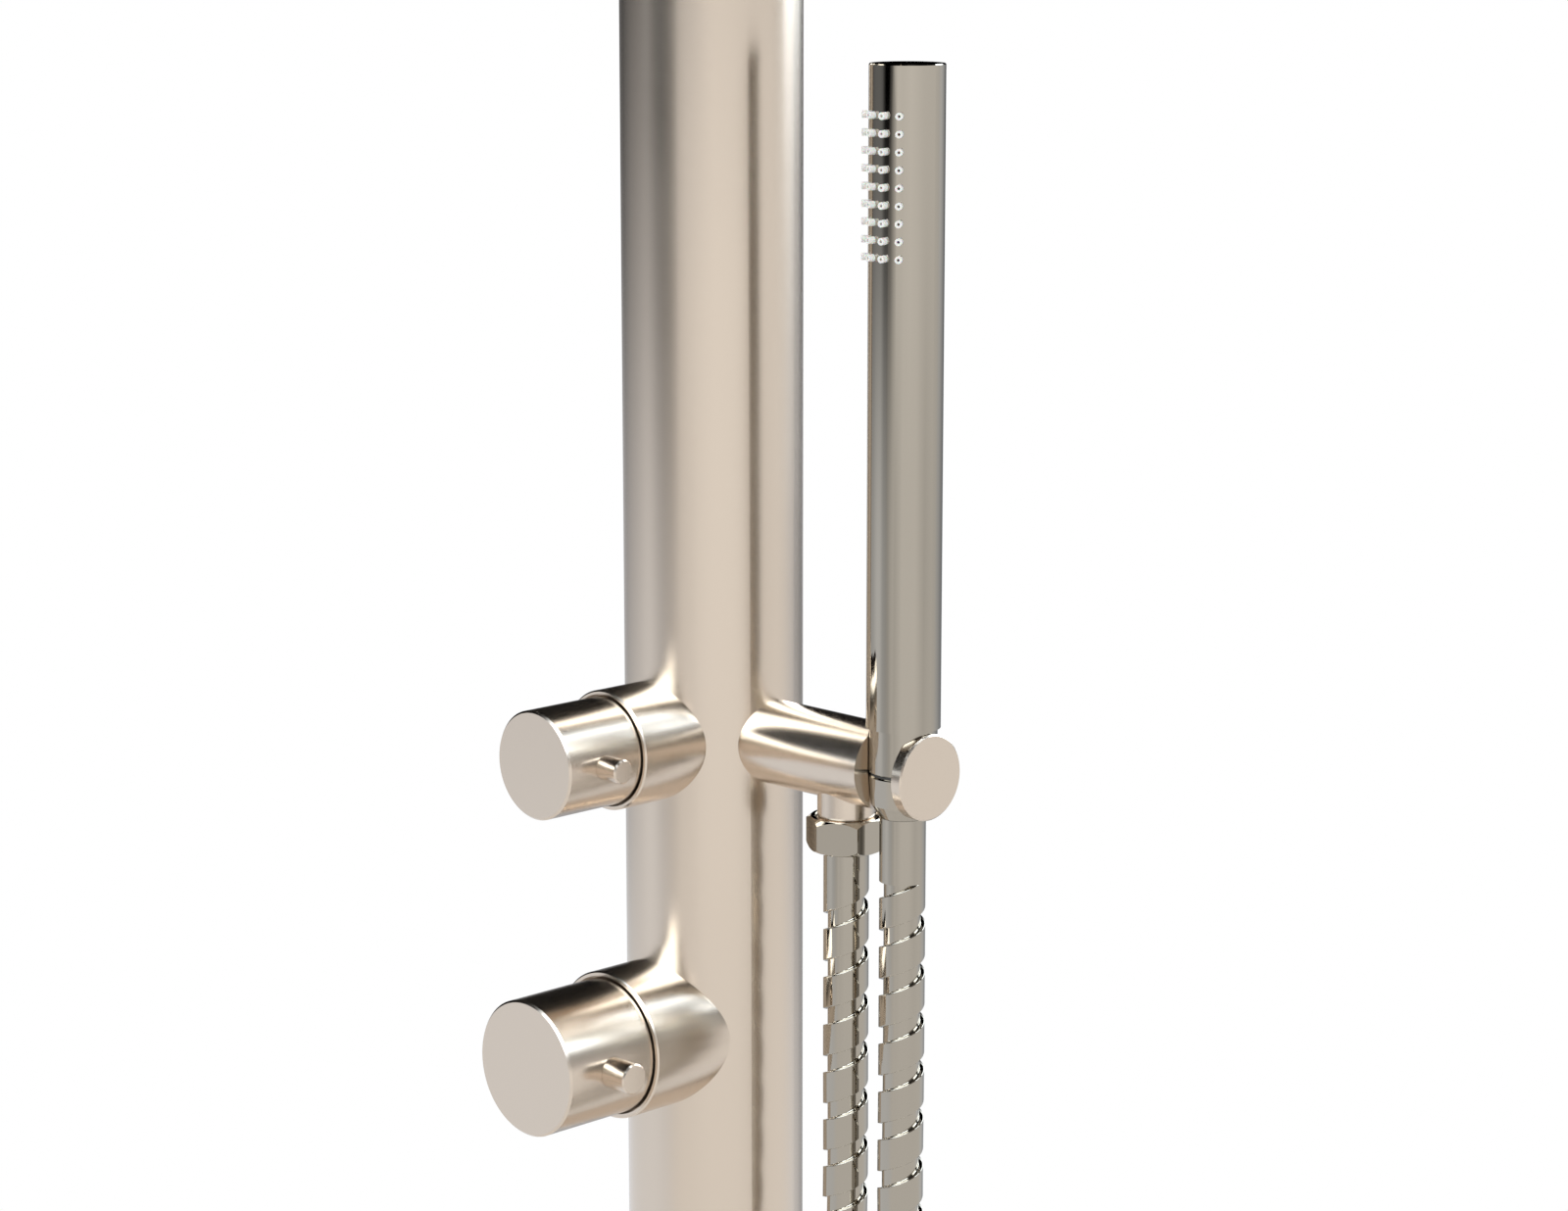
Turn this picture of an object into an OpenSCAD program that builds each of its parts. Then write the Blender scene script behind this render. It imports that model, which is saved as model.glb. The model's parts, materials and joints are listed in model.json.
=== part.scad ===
// Free-standing outdoor shower: a round post with two front valves, a side arm
// that feeds and cradles a stick hand shower on a strip-wound hose, and a round
// rain head on a top arm. The ground is at z = 0, the knobs point to -Y and the
// hand shower hangs on the +X side. All lengths are in millimetres.

/* [Post] */
// Outer diameter of the upright post
post_d = 60; // [56:1:66]
// Wall thickness of the post
post_wall = 2; // [1.5:0.5:2.5]
// Height of the closed top of the post above the ground
post_h = 2200; // [2160:10:2400]
// Thickness of the visible rim of the top cap
cap_t = 4; // [3:0.5:8]
// Depth of the plug that holds the top cap in the post
cap_plug_h = 14; // [10:1:20]

/* [Base] */
// Diameter of the round base plate
base_d = 200; // [190:5:260]
// Thickness of the base plate
base_t = 10; // [8:1:14]
// Width of the bevel round the top of the base plate
base_bevel = 1.5; // [0.5:0.5:3]
// Diameter of the circle through the ground bolts
bolt_circle_d = 160; // [140:5:170]
// Diameter of the ground bolt holes
bolt_hole_d = 11; // [9:1:14]
// Number of ground bolts
bolt_count = 4; // [3:1:6]

/* [Supply] */
// Distance between the centres of the hot and cold inlets
supply_gap = 27; // [26.5:0.5:27.5]
// Outer diameter of the inlet fittings above the base plate
inlet_d = 25; // [24.5:0.5:26]
// Length of the inlet fittings above the base plate
inlet_h = 26; // [22:1:34]
// Diameter of the threaded mouth of each inlet
inlet_mouth_d = 18.64; // [18:0.02:19]
// Depth of the threaded mouth of each inlet
inlet_mouth_l = 16; // [12:1:18]
// Outer diameter of the inner water pipes
pipe_d = 12; // [10:0.5:13]
// Wall thickness of the inner water pipes
pipe_wall = 1; // [0.8:0.1:1.5]
// Depth to which a pipe sits in its fitting
pipe_socket = 8; // [6:0.5:9]

/* [Valves] */
// Height of the holder arm and of the upper valve above the ground
arm_h = 1100; // [1000:10:1200]
// Height of the upper valve above the lower valve
valve_gap = 101; // [90:1:120]
// Distance of the mouths of both valve collars from the post's axis
collar_end = 49; // [46:0.5:56]
// Wall thickness of both valve collars
collar_wall = 2.4; // [1.8:0.2:2.6]
// Open gap between each knob and the mouth of its collar
knob_gap = 0.7; // [0.5:0.1:0.9]
// Depth to which each knob sinks into its collar
knob_sink = 3; // [2:0.2:4]
// Diameter of the spindles that turn the cartridges
spindle_d = 8; // [7:0.5:9]

/* [Lower valve, mixer] */
// Outer diameter of the mixer collar
mixer_collar_d = 50; // [48:0.5:52]
// Diameter of the mixer knob
mixer_knob_d = 45.6; // [43:0.2:48]
// Distance of the front of the mixer knob from the post's axis
mixer_knob_end = 85; // [80:0.5:95]
// Diameter of the lever pin of the mixer knob
mixer_pin_d = 10.2; // [8:0.2:11]
// Length of the lever pin that stands out of the mixer knob
mixer_pin_l = 10.3; // [8:0.1:16]
// Distance from the front of the mixer knob back to its lever pin
mixer_pin_back = 18.2; // [12:0.1:20]

/* [Upper valve, diverter] */
// Outer diameter of the diverter collar
diverter_collar_d = 40; // [38:0.5:44]
// Diameter of the diverter knob
diverter_knob_d = 36; // [34:0.5:39]
// Distance of the front of the diverter knob from the post's axis
diverter_knob_end = 79.7; // [76:0.1:90]
// Diameter of the lever pin of the diverter knob
diverter_pin_d = 8; // [6:0.5:9]
// Length of the lever pin that stands out of the diverter knob
diverter_pin_l = 8.8; // [7:0.1:14]
// Distance from the front of the diverter knob back to its lever pin
diverter_pin_back = 15; // [10:0.1:17]

/* [Holder arm] */
// Diameter of the holder arm and of its end disc
arm_d = 28; // [27:0.2:30]
// Distance of the front of the end disc from the post's axis
arm_end = 100.75; // [100.5:0.25:108]
// Distance of the hand shower's axis from the post's axis
shower_x = 88.5; // [88:0.25:89]
// Width of the slot that lets the hose into the cradle
slot_w = 16.4; // [15.6:0.2:17]
// Distance of the hose outlet under the arm from the post's axis
outlet_x = 63; // [62:0.5:64]
// Diameter of the neck of the hose outlet
outlet_d = 19; // [18:0.2:20]
// Diameter of the threaded end of the hose outlet
outlet_thread_d = 20.8; // [20:0.1:21]

/* [Hand shower] */
// Diameter of the hand shower's tube
tube_d = 24; // [23:0.5:26]
// Wall thickness of the hand shower's tube
tube_wall = 1.2; // [0.8:0.1:1.4]
// Height of the top of the hand shower above the arm's axis
tube_top = 225; // [220:1:300]
// Height of the lower end of the hand shower's tube above the arm's axis
tube_low = 15; // [14.5:0.5:18]
// Diameter of the hand shower's neck
neck_d = 22; // [21.6:0.1:22.4]
// Number of nozzle rows
nozzle_rows = 9; // [4:1:10]
// Number of nozzles across in each row
nozzle_columns = 4; // [2:1:5]
// Distance between two nozzle rows
nozzle_pitch = 5.5; // [4.5:0.05:6]
// Angle between two nozzles of a row
nozzle_angle = 24; // [18:1:28]
// Outer diameter of a nozzle
nozzle_d = 2.3; // [2:0.1:3]
// Height of a nozzle above the tube
nozzle_h = 2.1; // [1:0.1:3]
// Distance from the top of the hand shower down to its first nozzle row
nozzle_top = 15.6; // [15:0.2:24]

/* [Hose] */
// Outer diameter of the hose
hose_d = 15; // [14:0.1:15.4]
// Depth of the groove between two turns of the hose's strip
hose_groove = 1.5; // [1:0.1:2]
// Length of the groove along the hose
hose_groove_l = 5.7; // [3:0.1:8]
// Bore of the hose
hose_bore_d = 8; // [6:0.5:9]
// Turns of the strip from end to end
hose_turns = 87.18; // [60:0.01:100]
// Width across the flats of the hose nut
nut_flats = 23.6; // [23.2:0.1:26]
// Height of the hose nut
nut_h = 12; // [12:0.5:16]

/* [Rain head] */
// Diameter of the arm that carries the rain head
head_arm_d = 24; // [20:1:26]
// Wall thickness of that arm
head_arm_wall = 2; // [1.5:0.5:3]
// Distance of that arm's axis below the top of the post
head_arm_drop = 60; // [50:1:90]
// Distance of the rain head's centre from the post's axis
head_reach = 350; // [300:5:400]
// Radius of the bend of the head arm
head_bend_r = 40; // [30:1:60]
// Length of the straight end of the head arm below its bend
head_tail = 18; // [16:1:40]
// Diameter of the rain head
head_d = 220; // [180:5:260]
// Height of the rain head's rim
head_rim_h = 8; // [7:0.5:12]
// Height of the rain head's crown above its rim
head_crown = 4; // [3:0.5:8]
// Number of nozzle rings of the rain head
head_rings = 5; // [3:1:6]
// Diameter of the ball that the rain head tilts on
ball_d = 18; // [17:0.5:19]

/* [Hidden] */
$fn = 96;

// Shared clearances and the overrun of cuts
over = 1;
seat = 0.1;
fit = 0.05;
cradle_gap = 0.3;
edge = 0.5;
quarter = 90;
full_turn = 360;

// Post and base
post_r = post_d / 2;
post_in_r = post_r - post_wall;
tube_end = post_h - cap_t;
supply_x = supply_gap / 2;
inlet_step = 1.5;
inlet_spigot_d = inlet_d - 2 * inlet_step;
inlet_floor = 1;
inlet_top = base_t + inlet_h;
pipe_r = pipe_d / 2;
pipe_bore_r = pipe_r - pipe_wall;
port_r = 4;

// Valves
mixer_h = arm_h - valve_gap;
mixer_bore_r = mixer_collar_d / 2 - collar_wall;
diverter_bore_r = diverter_collar_d / 2 - collar_wall;
body_back = 14;
mouth_back = 10;
body_front = collar_end - mouth_back;
body_wall = 4;
cavity_floor = 8;
bonnet_t = 5;
nose_wall = 4;
nose_r = spindle_d / 2 + nose_wall;
spindle_back = 10;
spindle_foot = cavity_floor + spindle_back;
knob_wall = 3;
knob_face_t = 5;
hub_wall = 4;
hub_r = spindle_d / 2 + hub_wall;
screw_d = 4.8;
screw_key_d = 2.8;
screw_key_l = 2;
seal_w = 2;
seal_back = 6;
knob_edge = 0.7;
channel_r = 3;
channel_x = 9;
flat_cut = 2;
body_flat = diverter_bore_r - flat_cut;
washer_t = 1.5;

// Holder arm
arm_r = arm_d / 2;
arm_nose_r = 10;
water_r = 5;
arm_stop = 6;
outlet_nose_r = 8;
outlet_seat = 6;
thread_top = 19.3;
thread_end = 25.5;
valve_l = 10;
valve_r = 6.5;
valve_port_r = 3;
valve_floor = 15;

// Hose nut and the fittings at both ends of the hose
nut_top = 19;
nut_low = nut_top + nut_h;
nut_corner_r = nut_flats / sqrt(3);
nut_dome = 4;
nut_chamfer = 2;
hose_r = hose_d / 2;
hose_core_r = hose_r - hose_groove;
hose_bore_r = hose_bore_d / 2;
lip_t = 2.2;
collar_neck_r = 6.2;
collar_r = 9.5;

// Hand shower, measured from the arm's axis
neck_r = neck_d / 2;
neck_low = 0.3;
ring_gap = 0.9;
ring_in = 0.7;
plug_h = 15;
cone_top = neck_low - ring_gap;
cone_top_r = neck_r - seat;
cone_taper = 0.65;
cone_low_r = neck_r - cone_taper;
cone_l = 9.7;
shoulder_l = 4.3;
cone_low = cone_top - cone_l;
cone_end = cone_low - shoulder_l;
spigot_r = 8;
spigot_low = -8;
cone_washer_t = 2;
sleeve_end = -36;
sleeve_collar_r = 7.4;
sleeve_collar_t = 2;
sleeve_neck_r = 6;
tube_r = tube_d / 2;
tube_in_r = tube_r - tube_wall;
shower_cap_t = 2;
shower_cap_bevel = 0.3;
shower_plug_h = 6;
mat_t = 1;
mat_margin = 5;
mat_edge_angle = 11;
spray_turn = -2.5;
nozzle_hole_d = 0.9;
liner_wall = 2;
liner_gap = 0.3;

// Rain head
head_arm_h = post_h - head_arm_drop;
head_arm_r = head_arm_d / 2;
elbow_w = 34;
elbow_h = 40;
elbow_socket = 8;
ball_r = ball_d / 2;
tail_low = head_arm_h - head_bend_r - head_tail;
tail_nipple_r = 9.5;
tail_nipple_l = 9;
tail_web = 3;
ball_seal_t = 2;
ball_cut = 5.5;
ball_h = tail_low - tail_nipple_l - ball_seal_t - ball_cut;
swivel_flats = 25;
swivel_lip = 5.6;
swivel_gap = 0.3;
swivel_top = tail_low - swivel_gap;
stem_r = 4.5;
stem_l = 16;
stem_low = ball_h - stem_l;
boss_r = 14;
boss_h = 6;
shell_wall = 1.5;
plate_t = 1.2;
head_mat_t = 1.5;
head_nozzle_d = 3;
head_nozzle_h = 2;
head_nozzle_gap = 18;
head_nozzle_hole_d = 1;
crown_top = stem_low + boss_h;
rim_top = stem_low - head_crown;
rim_low = rim_top - head_rim_h;

// Route of the hose's centre line from the nut, down, round and up to the hand
// shower: x and y from the post's axis, z from the arm's axis
hose_route = [
    [63, 0, -31], [63, 0, -50], [63, 0, -100], [63, 0, -150], [63, -2, -200],
    [62, -6, -260], [61, -13, -320], [60, -22, -380], [58, -32, -440],
    [56, -42, -500], [55, -51, -560], [54, -57, -610], [54, -60, -650],
    [57, -52, -682], [65, -30, -705], [76, 0, -714], [87, 30, -705],
    [95, 52, -682], [98, 60, -650], [98, 57, -610], [97, 51, -560],
    [96, 42, -500], [94, 32, -440], [92, 22, -380], [91, 13, -320],
    [90, 6, -260], [89, 2, -200], [88.5, 0, -150], [88.5, 0, -100],
    [88.5, 0, -51], [88.5, 0, -36]];
// Compass direction of the plane in which the loop of the hose hangs
loop_angle = 70;
// Distance from the nut to the first groove, and from the last one to the sleeve
hose_lead = 7.6;
hose_trail = 6;
// Share of a turn between the first column of the strip and the front of the sleeve
trail_share = 0.18;
hose_sides = 8;
route_steps = 6;

// Frames: a child drawn along +Z comes out along -Y or +X at a given height
module to_front(h) { translate([0, 0, h]) rotate([quarter, 0, 0]) children(); }
module to_side(h) { translate([0, 0, h]) rotate([0, quarter, 0]) children(); }
module at_shower() { translate([shower_x, 0, arm_h]) children(); }
module at_outlet() { translate([outlet_x, 0, arm_h]) children(); }

// A round bar from z = low to z = high with both ends bevelled
module bar(r, low, high, bevel_low, bevel_high) {
    rotate_extrude() polygon([[0, low], [r - bevel_low, low], [r, low + bevel_low],
        [r, high - bevel_high], [r - bevel_high, high], [0, high]]);
}

// A plain round rod and a tube from z = low to z = high
module rod(r, low, high) { translate([0, 0, low]) cylinder(r = r, h = high - low); }
module pipe(r_out, r_in, low, high) {
    difference() {
        rod(r_out, low, high);
        rod(r_in, low - over, high + over);
    }
}

// Post and base

module inlet_places() { for (side = [-1, 1]) translate([side * supply_x, 0, 0]) children(); }

module base_plate() {
    color("tan") difference() {
        bar(base_d / 2, 0, base_t, 0, base_bevel);
        for (i = [0 : bolt_count - 1]) {
            rotate([0, 0, full_turn * (i + 1 / 2) / bolt_count]) translate([bolt_circle_d / 2, 0, 0])
                rod(bolt_hole_d / 2, -over, base_t + over);
        }
        inlet_places() rod(inlet_spigot_d / 2 + fit, -over, base_t + over);
    }
}

module post_tube() {
    color("tan") difference() {
        pipe(post_r, post_in_r, base_t, tube_end);
        to_front(mixer_h) rod(mixer_bore_r, 0, post_d);
        to_front(arm_h) rod(diverter_bore_r, 0, post_d);
        to_side(arm_h) rod(arm_nose_r + fit, 0, post_d);
        to_front(head_arm_h) rod(head_arm_r + fit, 0, post_d);
    }
}

module top_cap() {
    color("tan") {
        bar(post_in_r - seat, tube_end - cap_plug_h, tube_end, edge, 0);
        bar(post_r, tube_end, post_h, 0, edge);
    }
}

module valve_collar(h, d, knob_d) {
    color("tan") difference() {
        to_front(h) bar(d / 2, 0, collar_end, 0, edge);
        to_front(h) rod(d / 2 - collar_wall, -over, collar_end + over);
        to_front(h) rod(knob_d / 2 + knob_gap, body_front + bonnet_t, collar_end + over);
        rod(post_r, h - d, h + d);
    }
}
module mixer_collar() { valve_collar(mixer_h, mixer_collar_d, mixer_knob_d); }
module diverter_collar() { valve_collar(arm_h, diverter_collar_d, diverter_knob_d); }

// Supply

module inlet(side) {
    color("darkgoldenrod") translate([side * supply_x, 0, 0]) difference() {
        union() {
            rod(inlet_spigot_d / 2, inlet_floor, base_t);
            bar(inlet_d / 2, base_t, inlet_top, 0, edge);
        }
        rod(inlet_mouth_d / 2, 0, inlet_floor + inlet_mouth_l);
        rod(pipe_bore_r, 0, inlet_top + over);
        rod(pipe_r + fit, inlet_top - pipe_socket, inlet_top + over);
    }
}
module hot_inlet() { inlet(-1); }
module cold_inlet() { inlet(1); }

module supply_pipe(side) {
    color("peru") translate([side * supply_x, 0, 0])
        pipe(pipe_r, pipe_bore_r, inlet_top - pipe_socket, mixer_h - pipe_socket);
}
module hot_pipe() { supply_pipe(-1); }
module cold_pipe() { supply_pipe(1); }

module link_pipe() {
    color("peru") pipe(pipe_r, pipe_bore_r, mixer_h + pipe_socket, arm_h - pipe_socket);
}
module riser_pipe() {
    color("peru") pipe(pipe_r, pipe_bore_r, arm_h + pipe_socket,
        head_arm_h - elbow_h / 2 + pipe_socket);
}

// Valves

// The rough body of a valve, which slides into its collar from the front
module body_blank(bore_r) {
    rod(bore_r - seat, -body_back, body_front);
}
// The space for a cartridge, open at the front of the body
module cartridge_space(bore_r) {
    rod(bore_r - body_wall, cavity_floor, body_front + over);
}
// A socket for a vertical pipe, with the bore behind it and a way to the cartridge
module pipe_port(x, up, h, reach) {
    translate([x, 0, h]) mirror([0, 0, up ? 0 : 1]) {
        rod(pipe_r + fit, pipe_socket, reach);
        rod(port_r, channel_r, reach);
    }
    to_front(h) translate([x * channel_x / supply_x, (up ? 1 : -1) * (channel_r + port_r), 0])
        rod(channel_r, -port_r, cavity_floor + over);
}

module mixer_body() {
    color("darkgoldenrod") difference() {
        to_front(mixer_h) body_blank(mixer_bore_r);
        to_front(mixer_h) cartridge_space(mixer_bore_r);
        pipe_port(-supply_x, false, mixer_h, mixer_collar_d);
        pipe_port(supply_x, false, mixer_h, mixer_collar_d);
        pipe_port(0, true, mixer_h, mixer_collar_d);
    }
}

module diverter_body() {
    color("darkgoldenrod") difference() {
        to_front(arm_h) body_blank(diverter_bore_r);
        to_front(arm_h) cartridge_space(diverter_bore_r);
        pipe_port(0, false, arm_h, diverter_collar_d);
        pipe_port(0, true, arm_h, diverter_collar_d);
        // A flat face for the holder arm's washer, and the port to the hand shower
        translate([body_flat, -arm_nose_r - over, arm_h - diverter_collar_d / 2])
            cube([diverter_collar_d, arm_nose_r + body_back + 2 * over, diverter_collar_d]);
        to_side(arm_h) translate([0, 0, channel_x]) rod(port_r, 0, diverter_collar_d);
        to_front(arm_h) translate([channel_x + port_r / 2, 0, 0])
            rod(channel_r, -channel_r, cavity_floor + over);
    }
}

module cartridge(h, bore_r) {
    shell_r = bore_r - body_wall - seat;
    color("whitesmoke") to_front(h) difference() {
        union() {
            rod(shell_r, cavity_floor + seal_w, body_front);
            rod(nose_r, body_front, body_front + bonnet_t);
        }
        rod(spindle_d / 2 + fit, spindle_foot, body_front + bonnet_t + over);
        translate([0, 0, body_front - seal_back]) pipe(shell_r + over, shell_r - seal_w, 0, seal_w);
        for (turn = [0, 1, 2]) {
            rotate([0, 0, quarter + turn * full_turn / 3])
                translate([shell_r / 2, 0, 0]) rod(channel_r, 0, cavity_floor + pipe_socket);
        }
    }
}
module mixer_cartridge() { cartridge(mixer_h, mixer_bore_r); }
module diverter_cartridge() { cartridge(arm_h, diverter_bore_r); }

// Two rubber rings: one behind the cartridge, one in the groove round it
module valve_seals(h, bore_r) {
    shell_r = bore_r - body_wall - seat;
    color("dimgray") to_front(h) {
        pipe(shell_r - seat, shell_r - seal_w, cavity_floor, cavity_floor + seal_w);
        translate([0, 0, body_front - seal_back])
            pipe(shell_r + seat / 2, shell_r - seal_w, 0, seal_w);
    }
}
module mixer_seals() { valve_seals(mixer_h, mixer_bore_r); }
module diverter_seals() { valve_seals(arm_h, diverter_bore_r); }

module bonnet(h, bore_r) {
    color("darkgoldenrod") to_front(h) difference() {
        bar(bore_r - seat, body_front, body_front + bonnet_t, 0, edge);
        rod(nose_r + fit, 0, collar_end);
        // Two notches for a pin wrench
        for (side = [-1, 1]) {
            translate([side * bore_r, 0, body_front + bonnet_t / 2])
                rod(bonnet_t / 2, 0, bonnet_t);
        }
    }
}
module mixer_bonnet() { bonnet(mixer_h, mixer_bore_r); }
module diverter_bonnet() { bonnet(arm_h, diverter_bore_r); }

module spindle(h, knob_end) {
    color("silver") to_front(h)
        bar(spindle_d / 2, spindle_foot + fit, knob_end - knob_face_t - edge, edge, edge);
}
module mixer_spindle() { spindle(mixer_h, mixer_knob_end); }
module diverter_spindle() { spindle(arm_h, diverter_knob_end); }

module knob(h, d, end, pin_d, pin_back) {
    rear = collar_end - knob_sink;
    color("tan") difference() {
        to_front(h) difference() {
            bar(d / 2, rear, end, edge, knob_edge);
            pipe(d / 2 - knob_wall, hub_r, rear - over, end - knob_face_t);
            rod(hub_r + over, rear - over, rear + edge);
            rod(spindle_d / 2 + fit, rear - over, end - knob_face_t);
        }
        translate([0, pin_back - end, h]) {
            to_side(0) rod(pin_d / 2 + fit, hub_r - over, d);
            mirror([0, 0, 1]) rod(screw_d / 2 + fit, 0, d);
        }
    }
}
module mixer_knob() {
    knob(mixer_h, mixer_knob_d, mixer_knob_end, mixer_pin_d, mixer_pin_back);
}
module diverter_knob() {
    knob(arm_h, diverter_knob_d, diverter_knob_end, diverter_pin_d, diverter_pin_back);
}

module lever_pin(h, knob_d, knob_end, pin_d, pin_l, pin_back) {
    color("tan") translate([0, pin_back - knob_end, 0]) to_side(h)
        bar(pin_d / 2, hub_r - over, knob_d / 2 + pin_l, 0, edge);
}
module mixer_pin() {
    lever_pin(mixer_h, mixer_knob_d, mixer_knob_end, mixer_pin_d, mixer_pin_l, mixer_pin_back);
}
module diverter_pin() {
    lever_pin(arm_h, diverter_knob_d, diverter_knob_end, diverter_pin_d, diverter_pin_l,
        diverter_pin_back);
}

// The grub screw that holds a knob on its spindle, under the knob
module grub_screw(h, knob_end, pin_back) {
    color("dimgray") translate([0, pin_back - knob_end, h]) mirror([0, 0, 1]) difference() {
        rod(screw_d / 2, spindle_d / 2 + fit, hub_r + edge);
        translate([0, 0, hub_r + edge - screw_key_l])
            cylinder(d = screw_key_d, h = screw_key_l + over, $fn = 6);
    }
}
module mixer_screw() { grub_screw(mixer_h, mixer_knob_end, mixer_pin_back); }
module diverter_screw() { grub_screw(arm_h, diverter_knob_end, diverter_pin_back); }

// Holder arm and hose outlet

// Half outline of the neck and cone nut, opened out by a gap all round
function cradle_outline(gap, low, high) = [
    [0, low], [cone_low_r + gap, low], [cone_low_r + gap, cone_low],
    [cone_top_r + gap, cone_top], [neck_r + gap, cone_top + ring_gap],
    [neck_r + gap, high], [0, high]];

module holder_arm() {
    color("tan") difference() {
        union() {
            difference() {
                to_side(arm_h) bar(arm_r, 0, arm_end, 0, edge);
                rod(post_r, arm_h - arm_d, arm_h + arm_d);
            }
            to_side(arm_h) rod(arm_nose_r, body_flat + washer_t, post_d / 2 + edge);
        }
        to_side(arm_h) rod(water_r, 0, outlet_x + arm_stop);
        at_outlet() {
            rod(outlet_nose_r + fit, -arm_d, -outlet_seat);
            rod(port_r, -arm_d, 0);
        }
        at_shower() {
            rotate_extrude() polygon(cradle_outline(cradle_gap, -arm_d, arm_d));
            translate([-slot_w / 2, -arm_d, -arm_d]) cube([slot_w, arm_d, 2 * arm_d]);
        }
    }
}

module arm_washer() {
    color("dimgray") to_side(arm_h) pipe(arm_nose_r - edge, water_r, body_flat, body_flat + washer_t);
}

module hose_outlet() {
    color("tan") at_outlet() difference() {
        union() {
            difference() {
                bar(outlet_d / 2, -thread_top, 0, edge, 0);
                rotate([0, quarter, 0]) rod(arm_r, -outlet_d, outlet_d);
            }
            rod(outlet_nose_r, -thread_top, -outlet_seat);
            bar(outlet_thread_d / 2, -thread_end, -thread_top, edge, 0);
        }
        rod(port_r, -thread_end - over, over);
        rod(valve_r + fit, -thread_end - over, -valve_floor);
    }
}

module check_valve() {
    color("whitesmoke") at_outlet() difference() {
        pipe(valve_r, valve_port_r, -valve_floor - valve_l, -valve_floor);
        rod(valve_port_r + over, -valve_floor - valve_l - over, -valve_floor - valve_l / 2);
    }
}

// A hexagon bar with a bevelled top and a domed foot
module nut_blank(flats, low, high, foot_r, foot_h, bevel) {
    corner_r = flats / sqrt(3);
    intersection() {
        translate([0, 0, low]) rotate([0, 0, quarter / 3])
            cylinder(r = corner_r, h = high - low, $fn = 6);
        rotate_extrude() polygon(concat(
            [[0, low], [foot_r, low]],
            [for (i = [1 : 6]) [foot_r + (corner_r + edge - foot_r) * sin(i * quarter / 6),
                low + foot_h * (1 - cos(i * quarter / 6))]],
            [[corner_r + edge, high - bevel], [corner_r - bevel, high], [0, high]]));
    }
}

module hose_nut() {
    color("gray") at_outlet() difference() {
        nut_blank(nut_flats, -nut_low, -nut_top, hose_r, nut_dome, nut_chamfer);
        rod(outlet_thread_d / 2 + fit, lip_t - nut_low, 0);
        rod(collar_neck_r + fit, -nut_low - over, 0);
    }
}

module hose_washer() {
    color("dimgray") at_outlet()
        pipe(collar_r, hose_bore_r, -thread_end - washer_t, -thread_end);
}

module hose_collar() {
    color("silver") at_outlet() difference() {
        union() {
            rod(collar_neck_r, -nut_low, -thread_end - washer_t);
            rod(collar_r, lip_t - nut_low, -thread_end - washer_t);
        }
        rod(hose_bore_r, -nut_low - over, 0);
    }
}

// Hose

function unit(v) = v / norm(v);
// A smooth curve through the route's points, at share t of stretch i
function way(p, i) = p[max(0, min(len(p) - 1, i))];
function curve_at(p, i, t) = let (a = way(p, i - 1), b = way(p, i), c = way(p, i + 1), d = way(p, i + 2))
    (2 * b + (c - a) * t + (2 * a - 5 * b + 4 * c - d) * t * t
    + (3 * b - 3 * c + d - a) * t * t * t) / 2;
line = concat([for (i = [0 : len(hose_route) - 2]) for (k = [0 : route_steps - 1])
    curve_at(hose_route, i, k / route_steps)], [way(hose_route, len(hose_route))]);
steps = [for (i = [1 : len(line) - 1]) norm(line[i] - line[i - 1])];
marks = [for (i = 0, s = 0; i < len(line); s = s + (i < len(steps) ? steps[i] : 0), i = i + 1) s];
hose_l = marks[len(marks) - 1];
tables = [for (axis = [0 : 2]) [for (i = [0 : len(line) - 1]) [marks[i], line[i][axis]]]];
function hose_point(s) = [for (axis = [0 : 2]) lookup(s, tables[axis])];
function hose_heading(s) = unit(hose_point(min(hose_l, s + over)) - hose_point(max(0, s - over)));
loop_normal = [-sin(loop_angle), cos(loop_angle), 0];
// A point of the hose's skin: s along the hose, a around it, r from its centre
function skin(s, a, r) = let (t = hose_heading(s), n = unit(loop_normal - (loop_normal * t) * t))
    hose_point(s) + r * (cos(a) * n + sin(a) * cross(t, n));

// The strip climbs by one turn over turn_l, and turns of groove run as columns
turn_l = (hose_l - hose_trail - hose_lead) / hose_turns;
groove_count = floor(hose_turns - trail_share);
wall_run = 0.4;
groove_steps = [[0, 0], [wall_run, 1], [hose_groove_l - wall_run, 1], [hose_groove_l, 0]];
function strip_column(j) = concat([[0, hose_r]],
    [for (k = [0 : groove_count - 1]) for (g = groove_steps)
        [hose_lead + turn_l * (k + j / hose_sides) + g[0], g[1] == 1 ? hose_core_r : hose_r]],
    [[hose_l, hose_r]]);
columns = [for (j = [0 : hose_sides - 1]) strip_column(j)];
rows = 4 * groove_count + 2;
bore_rings = 2 * len(hose_route);
function skin_id(j, i) = (j % hose_sides) * rows + i;
function bore_id(j, i) = hose_sides * rows + i * hose_sides + j % hose_sides;

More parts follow.
